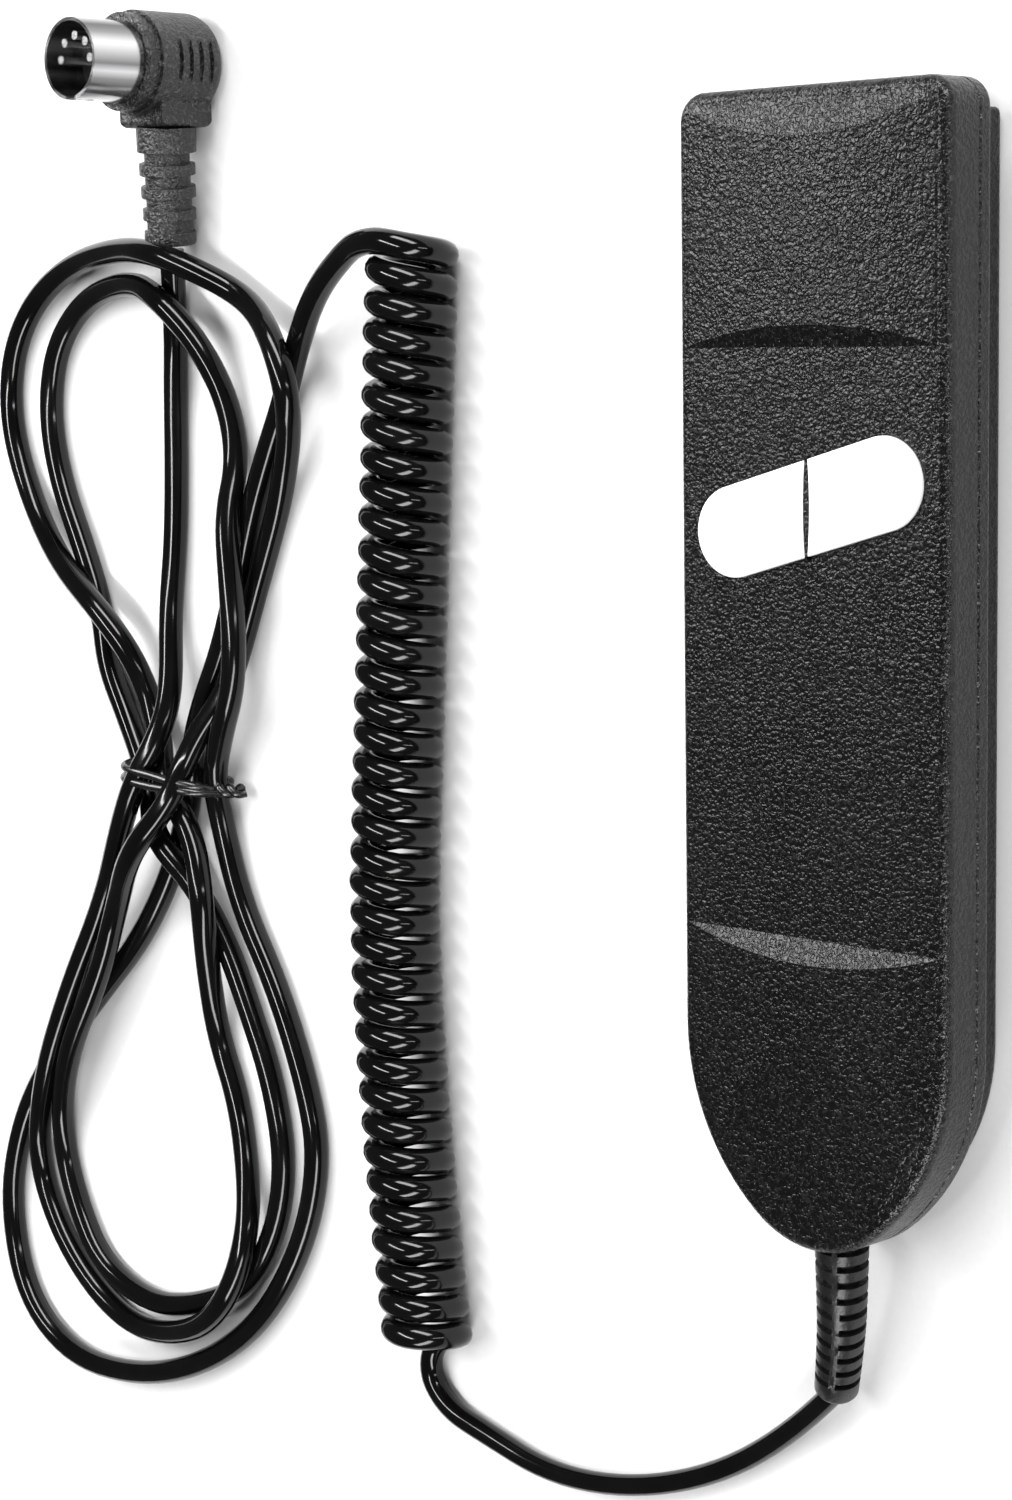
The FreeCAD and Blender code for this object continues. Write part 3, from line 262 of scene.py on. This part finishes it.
first_head_loop = metres([
    (-141.5, -27, 3.8), (-136.8, -19, 5.8), (-131.5, -11, 7.6), (-130.3, -2.5, 7.9),
    (-131.2, 7, 7.6), (-133.6, 18, 6.2), (-134.6, 27, 2.4), (-136.2, 37, 2.8),
    (-140.0, 46.5, 5.6), (-146.5, 54, 8.3), (-158, 57.5, 5.0), (-174, 55, 2.1),
    (-183, 47, 2.1), (-186, 35.5, 2.1), (-183.5, 23, 2.1), (-177, 10.5, 2.1),
    (-172.5, 0, 2.1), (-171.5, -9.5, 2.1), (-166.5, -18, 2.1), (-160.5, -26, 3.4)])
narrow_loop = metres([
    (-158.3, -31.5, 4.0), (-152.8, -38, 7.9), (-146.5, -46.5, 3.8), (-141, -56, 2.1),
    (-135.5, -66.5, 2.1), (-130, -78, 2.1), (-127, -92, 2.1), (-130, -105, 2.1),
    (-138.5, -116.5, 2.1), (-152.5, -122.5, 2.1), (-165, -124.5, 2.1), (-178.5, -120, 2.1),
    (-185.5, -109.5, 2.1), (-189.5, -97, 2.1), (-181.5, -81, 6.6), (-170.5, -64.5, 6.9),
    (-164.5, -51.5, 7.4), (-154, -40, 12.6)])
second_head_loop = metres([
    (-145.5, -31.5, 11.0), (-144.5, -24.5, 7.8), (-141, -18, 6.4), (-137, -12.5, 4.6),
    (-135, -5.5, 3), (-132.3, 3, 2.1), (-128.5, 11.5, 2.1), (-124.2, 21.5, 2.1),
    (-118.9, 31, 4.8), (-115.6, 38, 7.8), (-118.4, 46.6, 8.2), (-126.5, 52, 4.6),
    (-133.5, 55.6, 3.8), (-139.6, 59.2, 7.6), (-147, 61.9, 9.5), (-161, 62.9, 5.8),
    (-179, 60.5, 2.1), (-190, 54, 2.1), (-196.5, 44.5, 2.1), (-197.5, 32.5, 2.1),
    (-192, 19, 2.1), (-179.6, 8, 5.4), (-165.6, 0.4, 7.8), (-160.8, -7, 5.2), (-159.4, -15, 2.4),
    (-155.5, -22.5, 3.4)])
middle_loop = metres([
    (-151.6, -28.5, 6.9), (-143.5, -36.5, 6.8), (-139.6, -47.5, 8.6), (-142.6, -60, 5.2),
    (-144, -72.5, 2.1), (-139, -83, 2.1), (-137, -95.5, 2.1), (-134, -104.5, 5.0),
    (-136, -115.5, 7.4), (-147.2, -125.4, 5.8), (-167.5, -130.5, 2.1), (-180.5, -125.5, 2.1),
    (-191.5, -115, 2.1), (-197, -102, 2.1), (-188, -85, 6.6), (-179, -67.5, 6.8),
    (-170.6, -51, 5.0), (-161, -36.5, 8.6)])
tail_route = metres([
    (-155, -27.5, 9.9), (-151.2, -20.5, 7.8), (-150.8, -13.0, 4.8), (-153.2, 1.0, 2.6),
    (-151.8, 13.0, 2.1), (-151.0, 27.0, 2.1), (-150.8, 39.0, 2.1), (-149.9, 49.8, 2.3),
    (-147.9, 62.5, 4.5)])

coil_line = route_line(coil_route)
coil_radius = 0.00525
coil_turns = 36.68
points_per_turn = 12
coil_steps = round(coil_turns * points_per_turn)
coil_first, coil_last = 0.0022, line_length(coil_line) - 0.0018
lead_joins_at = 2
coil_points = []
for step in range(lead_joins_at, coil_steps + 1):
    share = step / coil_steps
    angle = math.radians(90) + 2 * math.pi * coil_turns * (share - 1)
    wander = 0.00012 * math.sin(step * 0.31) + 0.00010 * math.sin(step * 0.113 + 1.0)
    axes = place_on(coil_line, coil_first + (coil_last - coil_first) * share + wander)
    reach = (coil_radius + 0.00005 * math.sin(step * 0.173)) / math.cos(math.pi / points_per_turn)
    coil_points.append(axes @ Vector((reach * math.cos(angle), reach * math.sin(angle), 0)))

hank_points = (inner_fall + widest_loop + first_head_loop + narrow_loop + second_head_loop
               + middle_loop + tail_route)
cord_points = lead_route + coil_points + arch_route[1:] + hank_points
thickening_points, thickening_share = 5, 0.9
cord_shares = [1.0] * len(cord_points)
for i in range(len(lead_route)):
    slim = i < len(lead_route) - thickening_points
    cord_shares[i] = lead_share if slim else thickening_share
cord = bpy.data.objects.new("cord", nurbs_curve("cord", cord_points, cord_radius, cord_shares))
scene.collection.objects.link(cord)
keep_light_off(lamps["left_back"], [cord])


def new_group(name, inputs, outputs):
    """An empty node group with number inputs, a vector input first, and value outputs."""
    group = bpy.data.node_groups.new(name, "ShaderNodeTree")
    group.interface.new_socket("Place", in_out="INPUT", socket_type="NodeSocketVector")
    for socket, value in inputs:
        made = group.interface.new_socket(socket, in_out="INPUT", socket_type="NodeSocketFloat")
        made.default_value = value
    for socket in outputs:
        group.interface.new_socket(socket, in_out="OUTPUT", socket_type="NodeSocketFloat")
    return group, group.nodes.new("NodeGroupInput"), group.nodes.new("NodeGroupOutput")


handling_group, given, made_of = new_group(
    "handling_marks", [("Mark size", 60.0), ("Dust size", 2600.0)], ["Smear", "Dust"])
smear = add_node(handling_group, "ShaderNodeTexNoise", {
    "Vector": given.outputs["Place"], "Scale": given.outputs["Mark size"], "Detail": 5.0,
    "Roughness": 0.6})
dust = add_node(handling_group, "ShaderNodeTexVoronoi", {
    "Vector": given.outputs["Place"], "Scale": given.outputs["Dust size"]})
handling_group.links.new(
    ranged(handling_group, smear.outputs["Fac"], 0.3, 0.7, 0.0, 1.0), made_of.inputs["Smear"])
handling_group.links.new(
    ranged(handling_group, dust.outputs["Distance"], 0.16, 0.05, 0.0, 1.0),
    made_of.inputs["Dust"])


def use_group(tree, group, place, **values):
    """A node group placed in a material, with its own values."""
    used = add_node(tree, "ShaderNodeGroup", node_tree=group)
    tree.links.new(place, used.inputs["Place"])
    for name, value in values.items():
        used.inputs[name.replace("_", " ")].default_value = value
    return used


jacket, tree, place = start_material("cord_black_pvc")
marks = use_group(tree, handling_group, place, Mark_size=90.0)
ripple = add_node(tree, "ShaderNodeTexNoise", {"Vector": place, "Scale": 420.0, "Detail": 2.0})
jacket_bump = add_node(tree, "ShaderNodeBump", {
    "Height": ripple.outputs["Fac"], "Strength": 0.06, "Distance": 0.00010})
end_material(tree, {
    "Base Color": blended(
        tree, marks.outputs["Smear"], (0.0012, 0.0012, 0.0013), (0.0024, 0.0024, 0.0025)),
    "Roughness": ranged(tree, marks.outputs["Smear"], 0.0, 1.0, 0.09, 0.15),
    "Specular IOR Level": 0.28,
    "Normal": jacket_bump.outputs["Normal"]})
cord.data.materials.append(jacket)
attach(cord, "handset")
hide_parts("lead_cord", "curly_coil", "arch_cord", "tail_cord", "cord_hank")

# Case: two moulded ABS shells with a spark-eroded grain, held by screws from the back. They are
# the CAD solids, given a black plastic whose grain stands up in fine peaks, painted lighter as
# glints.
grain_group, given, made_of = new_group(
    "spark_grain", [("Grain size", 1600.0)], ["Height", "Peaks", "Mottle"])
pits = add_node(grain_group, "ShaderNodeTexNoise", {
    "Vector": given.outputs["Place"], "Scale": given.outputs["Grain size"], "Detail": 1.2,
    "Roughness": 0.5, "Distortion": 0.6})
mottle = add_node(grain_group, "ShaderNodeTexNoise", {
    "Vector": given.outputs["Place"], "Scale": 45.0, "Detail": 3.0})
grain_group.links.new(
    ranged(grain_group, pits.outputs["Fac"], 0.34, 0.66, 0.0, 1.0), made_of.inputs["Height"])
grain_group.links.new(
    ranged(grain_group, pits.outputs["Fac"], 0.52, 0.68, 0.0, 1.0), made_of.inputs["Peaks"])
grain_group.links.new(mottle.outputs["Fac"], made_of.inputs["Mottle"])


def grained_plastic(name, grain_size, depth, dark, light, glint_tone, roughness, gloss):
    """A moulded plastic with two close tones, grain peaks painted lighter as glints, and handling
    marks.
    Depth is the grain's, in millimetres."""
    material, tree, place = start_material(name)
    grain = use_group(tree, grain_group, place, Grain_size=grain_size)
    marks = use_group(tree, handling_group, place)
    bump = add_node(tree, "ShaderNodeBump", {
        "Height": grain.outputs["Height"], "Strength": 1.0, "Distance": depth / 1000})
    toned = blended(tree, grain.outputs["Mottle"], dark, light)
    # The grain's peaks are mixed towards the glint tone: painted glints on the grain.
    peak_glints = add_node(tree, "ShaderNodeMix", {"Factor": grain.outputs["Peaks"]}, data_type="RGBA")
    tree.links.new(toned, peak_glints.inputs["A"])
    peak_glints.inputs["B"].default_value = (*glint_tone, 1)
    worn = ranged(tree, marks.outputs["Smear"], 0.0, 1.0, roughness - 0.04, roughness + 0.04)
    end_material(tree, {
        "Base Color": peak_glints.outputs["Result"], "Roughness": worn,
        "Specular IOR Level": gloss, "Normal": bump.outputs["Normal"]})
    return material


def finish_node(node, material):
    """A CAD solid's finish."""
    nodes[node].data.materials.clear()
    nodes[node].data.materials.append(material)


# The peak tone paints glints on the grain's peaks.
case_plastic = grained_plastic(
    "case_black_abs", 1650.0, 0.095, (0.0012, 0.0012, 0.0013), (0.0024, 0.0024, 0.0025),
    (0.0100, 0.0100, 0.0102), 0.28, 0.28)
finish_node("front_shell", case_plastic)
finish_node("rear_shell", case_plastic)

# Buttons: two white keys of smooth satin plastic, which slide in the case's one slanted opening.
# They are the CAD solids, each carried by its own body.
button_white = grained_plastic(
    "button_white_abs", 1500.0, 0.004, (0.74, 0.74, 0.735), (0.79, 0.79, 0.785),
    (0.79, 0.79, 0.785), 0.30, 0.45)
finish_node("left_button", button_white)
finish_node("right_button", button_white)

# Inside: two push switches and a connector on a glass-laminate board, steel springs and screws,
# and the cord's end with its clamp and its five core wires.
def drawn_metal(name, dull, bright, low_rough, high_rough):
    """A metal with faint drawing lines along its length, and handling marks."""
    material, tree, place = start_material(name)
    marks = use_group(tree, handling_group, place, Mark_size=300.0)
    drawn = add_node(tree, "ShaderNodeMapping", {"Vector": place, "Scale": (9000.0, 9000.0, 400.0)})
    lines = add_node(tree, "ShaderNodeTexNoise", {
        "Vector": drawn.outputs["Vector"], "Scale": 1.0, "Detail": 2.0})
    bump = add_node(tree, "ShaderNodeBump", {
        "Height": lines.outputs["Fac"], "Strength": 0.4, "Distance": 0.000006})
    end_material(tree, {
        "Base Color": blended(tree, marks.outputs["Smear"], dull, bright), "Metallic": 1.0,
        "Roughness": ranged(tree, marks.outputs["Smear"], 0.0, 1.0, low_rough, high_rough),
        "Normal": bump.outputs["Normal"]})
    return material


for slot, members, grain_size, depth, dark, light, roughness, gloss in (
        ("switch_plastic", ("left_switch", "right_switch"), 2200.0, 0.012,
         grey(0.010), grey(0.016), 0.42, 0.45),
        ("plunger_plastic", ("left_plunger", "right_plunger"), 1200.0, 0.004,
         (0.45, 0.07, 0.04), (0.52, 0.09, 0.05), 0.28, 0.5),
        ("clamp_plastic", ("cord_clamp",), 900.0, 0.008,
         grey(0.030), grey(0.042), 0.46, 0.4),
        ("connector_plastic", ("board_connector",), 1500.0, 0.006,
         (0.62, 0.60, 0.52), (0.70, 0.68, 0.60), 0.38, 0.5),
        ("core_insulation", ("core_wires",), 700.0, 0.005,
         (0.44, 0.05, 0.035), (0.52, 0.07, 0.045), 0.34, 0.5)):
    moulded = grained_plastic(
        slot + "_moulded", grain_size, depth, dark, light, light, roughness, gloss)
    for node in members:
        finish_node(node, moulded)
spring_wire = drawn_metal("spring_drawn_steel", (0.42, 0.42, 0.43), (0.56, 0.56, 0.57), 0.20, 0.32)
zinc = drawn_metal("screw_zinc_plate", (0.46, 0.47, 0.50), (0.60, 0.61, 0.64), 0.24, 0.38)
for node in ("left_spring", "right_spring"):
    finish_node(node, spring_wire)
for node in ("case_screws", "board_screws", "clamp_screws"):
    finish_node(node, zinc)

# The board's laminate shows its glass weave through a green solder mask.
laminate, tree, place = start_material("board_green_laminate")
marks = use_group(tree, handling_group, place, Mark_size=120.0)
threads = [add_node(tree, "ShaderNodeTexWave", {"Vector": place, "Scale": 420.0, "Distortion": 0.4},
                    bands_direction=way) for way in ("X", "Y")]
woven = add_node(tree, "ShaderNodeMath", {}, operation="MULTIPLY")
for thread, socket in zip(threads, woven.inputs):
    tree.links.new(thread.outputs["Fac"], socket)
laminate_bump = add_node(tree, "ShaderNodeBump", {
    "Height": woven.outputs["Value"], "Strength": 0.5, "Distance": 0.00002})
end_material(tree, {
    "Base Color": blended(
        tree, woven.outputs["Value"], (0.012, 0.085, 0.035), (0.022, 0.130, 0.055)),
    "Roughness": ranged(tree, marks.outputs["Smear"], 0.0, 1.0, 0.24, 0.34),
    "Normal": laminate_bump.outputs["Normal"]})
finish_node("switch_board", laminate)
finish_node("inner_cable", jacket)

# Handset boot: a soft PVC strain relief moulded on the cord, tapered, with ten slots in each
# side between two spines, so that it bends with the cord. It is lofted ring by ring.
# Its grain's peaks get a lighter tone: painted glints on the grain.
boot_vinyl = grained_plastic(
    "boot_black_pvc", 1900.0, 0.020, grey(0.0022), grey(0.0040),
    grey(0.0060), 0.36, 0.35)


def lofted(name, line, stations, spine_angle, spine_half, material):
    """A soft moulding along a line: each station is a distance, the outer radius there, and the
    radius left between its two spines."""
    bm = bmesh.new()
    ring = bmesh.ops.create_circle(bm, cap_ends=True, segments=64, radius=1.0)["verts"]
    rim = list({edge for vert in ring for edge in vert.link_edges})
    axes = Matrix.Identity(4)
    for i, (distance, outer, between) in enumerate(stations):
        if i:
            made = bmesh.ops.extrude_edge_only(bm, edges=rim)["geom"]
            ring = [g for g in made if isinstance(g, bmesh.types.BMVert)]
            rim = [g for g in made if isinstance(g, bmesh.types.BMEdge)
                   and all(vert in ring for vert in g.verts)]
        before, axes = axes.inverted(), place_on(line, distance)
        for vert in ring:
            flat = before @ vert.co
            angle = math.atan2(flat.y, flat.x)
            off_spine = abs((angle - spine_angle + math.pi / 2) % math.pi - math.pi / 2)
            reach = outer if off_spine * outer < spine_half else between
            vert.co = axes @ Vector((reach * math.cos(angle), reach * math.sin(angle), 0))
    bmesh.ops.edgeloop_fill(bm, edges=rim)
    bmesh.ops.recalc_face_normals(bm, faces=bm.faces)
    piece = link_mesh(name, bm, material, 35)
    soften = piece.modifiers.new("moulded_edges", "BEVEL")
    soften.width, soften.segments, soften.limit_method = 0.00010, 2, "ANGLE"
    soften.angle_limit = math.radians(50)
    return piece


boot_line = route_line(metres([
    (0, -78.4, 10.0), (-0.6, -86.0, 9.2), (-2.3, -95.0, 7.2), (-5.6, -104.4, 4.4)]))
boot_length = line_length(boot_line)
boot_slots, slot_share, cut_share = 10, 0.42, 0.68
boot_root, boot_taper = 0.0039, 0.0007
slot_pitch = (boot_length - 0.0030) / boot_slots
boot_stations = [(0.0, boot_root, boot_root)]
for slot in range(boot_slots):
    top = 0.0012 + slot * slot_pitch
    for distance, cut in ((top, False), (top, True), (top + slot_share * slot_pitch, True),
                          (top + slot_share * slot_pitch, False)):
        outer = boot_root - boot_taper * distance / boot_length
        boot_stations.append((distance, outer, cut_share * outer if cut else outer))
boot_stations += [(boot_length - 0.0008, 0.0032, 0.0032), (boot_length - 0.0002, 0.0028, 0.0028),
                  (boot_length, 0.0022, 0.0022)]
handset_boot = lofted("handset_boot_slotted", boot_line, boot_stations,
                      math.radians(114), 0.00062, boot_vinyl)
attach(handset_boot, "handset")
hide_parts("handset_boot")

# Hank tie: a black plastic-covered wire, wrapped twice round the hank, its ends twisted together.
# It is a spline with a round bevel, made a mesh.
tie_vinyl = grained_plastic(
    "tie_black_pvc", 1400.0, 0.010, grey(0.0020), grey(0.0040),
    grey(0.0040), 0.24, 0.5)
tie_centre = Vector((-0.1485, -0.0276, 0))
tie_turn = Matrix.Rotation(math.radians(-5), 3, "Z")
tie_radius = 0.00075
tie_section = metres([
    (8.9, 0, 4.6), (8.7, 0, 0.7), (5.0, 0, 0.62), (-8.5, 0, 0.62), (-12.2, 0, 0.7), (-12.6, 0, 4.5),
    (-11.2, 0, 9.0), (-7.2, 0, 10.9), (-1.0, 0, 10.5), (4.2, 0, 10.3), (7.6, 0, 8.6)])
tie_points = []
for wrap in range(2):
    for point in tie_section:
        spread = 0.0010 if point.x < 0 else 0.0006
        along = point + Vector((0, spread - 2 * spread * wrap, 0))
        tie_points.append(tie_centre + tie_turn @ along)
tie_twist = tie_centre + Vector((0.0094, -0.0012, 0.0046))
twist_radius = 0.00062
tie_ends = []
for end in range(2):
    tie_ends.append([
        tie_twist + Vector((0.00045 * step, twist_radius * math.cos(step * 0.9 + math.pi * end),
                            twist_radius * math.sin(step * 0.9 + math.pi * end) - 0.00030 * step))
        for step in range(9)])
tie_curve = nurbs_curve("tie_wire", tie_ends[0][::-1] + tie_points + tie_ends[1], tie_radius)
wire = bpy.data.objects.new("tie_wire", tie_curve)
bm = bmesh.new()
bm.from_mesh(bpy.data.meshes.new_from_object(wire))
bpy.data.objects.remove(wire)
hank_tie = link_mesh("hank_tie_wire", bm, tie_vinyl, 40)
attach(hank_tie, "handset")
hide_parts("hank_tie")

# Plug boot: a stiffer PVC strain relief moulded on the plug's neck, a collar and four rings on a
# slimmer core. It is lofted like the handset's boot, without spines.
# Its grain's peaks get a much lighter tone: painted glints on the grain.
plug_plastic = grained_plastic(
    "plug_black_pvc", 1700.0, 0.14, grey(0.0024), grey(0.0048),
    grey(0.0300), 0.34, 0.45)
plug_boot_line = route_line(metres([
    (-145.4, 82.6, 7.0), (-146.2, 76.0, 6.4), (-147.0, 70.0, 5.4), (-147.9, 63.4, 4.6)]))
plug_boot_length = line_length(plug_boot_line)
rings, collar_length, core_radius = 4, 0.0045, 0.00385
ring_pitch = (plug_boot_length - collar_length) / rings
plug_boot_stations = [(0.0, 0.00505, 0.00505), (0.0042, 0.00495, 0.00495)]
for ring_number in range(rings):
    start = collar_length + ring_number * ring_pitch
    outer = 0.0047 - 0.00012 * ring_number
    plug_boot_stations += [
        (start - 0.0003, core_radius, core_radius),
        (start + 0.42 * ring_pitch, 0.0038, 0.0038),
        (start + 0.42 * ring_pitch, outer, outer), (start + 0.92 * ring_pitch, outer, outer)]
plug_boot_stations += [(plug_boot_length, 0.0041, 0.0041), (plug_boot_length, 0.0024, 0.0024)]
plug_boot = lofted("plug_boot_ringed", plug_boot_line, plug_boot_stations,
                   math.radians(90), 0.0, plug_plastic)
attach(plug_boot, "handset")
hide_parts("plug_boot")

# Plug: a right-angled moulded PVC head, a plated shield, and a dark nylon insert with five pins.
# They are the CAD solids. The shield's light and dark bands are painted reflections in its base
# colour.
insert_plastic = grained_plastic(
    "insert_black_nylon", 2400.0, 0.010, grey(0.0020), grey(0.0040),
    grey(0.0040), 0.4, 0.4)
finish_node("plug_body", plug_plastic)
finish_node("plug_insert", insert_plastic)
shield_low, shield_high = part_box("plug_shell")
shield_radius = 0.0066
chrome, tree, place = start_material("shield_nickel_painted_reflections")
marks = use_group(tree, handling_group, place, Mark_size=200.0)
round_axis = add_node(tree, "ShaderNodeMapping", {
    "Vector": place, "Location": -(shield_low + shield_high) / 2})
sides = add_node(tree, "ShaderNodeSeparateXYZ", {"Vector": round_axis.outputs["Vector"]})
across = ranged(tree, sides.outputs["Y"], -shield_radius, shield_radius, 0.0, 1.0)
# Light and dark stripes across the shield's round, set in its base colour: painted reflections.
bands = add_node(tree, "ShaderNodeValToRGB", {"Fac": across})
painted_reflection_bands = (
    (0.00, 0.62), (0.10, 0.62), (0.16, 0.12), (0.24, 0.20), (0.33, 0.55), (0.42, 0.16),
    (0.52, 0.34), (0.68, 0.66), (0.80, 0.26), (0.90, 0.10), (0.96, 0.30))
while len(bands.color_ramp.elements) < len(painted_reflection_bands):
    bands.color_ramp.elements.new(0.5)
for stop, (share, tone) in zip(bands.color_ramp.elements, painted_reflection_bands):
    stop.position = share
    stop.color = (tone, tone, tone * 1.01, 1)
end_material(tree, {
    "Base Color": bands.outputs["Color"], "Metallic": 1.0,
    "Roughness": ranged(tree, marks.outputs["Smear"], 0, 1, 0.14, 0.22)})
nickel, tree, place = start_material("contact_bright_nickel")
marks = use_group(tree, handling_group, place, Mark_size=300.0)
end_material(tree, {
    "Base Color": blended(tree, marks.outputs["Smear"], grey(0.58), grey(0.70)),
    "Metallic": 1.0, "Roughness": 0.2})
finish_node("plug_shell", chrome)
finish_node("plug_contacts", nickel)
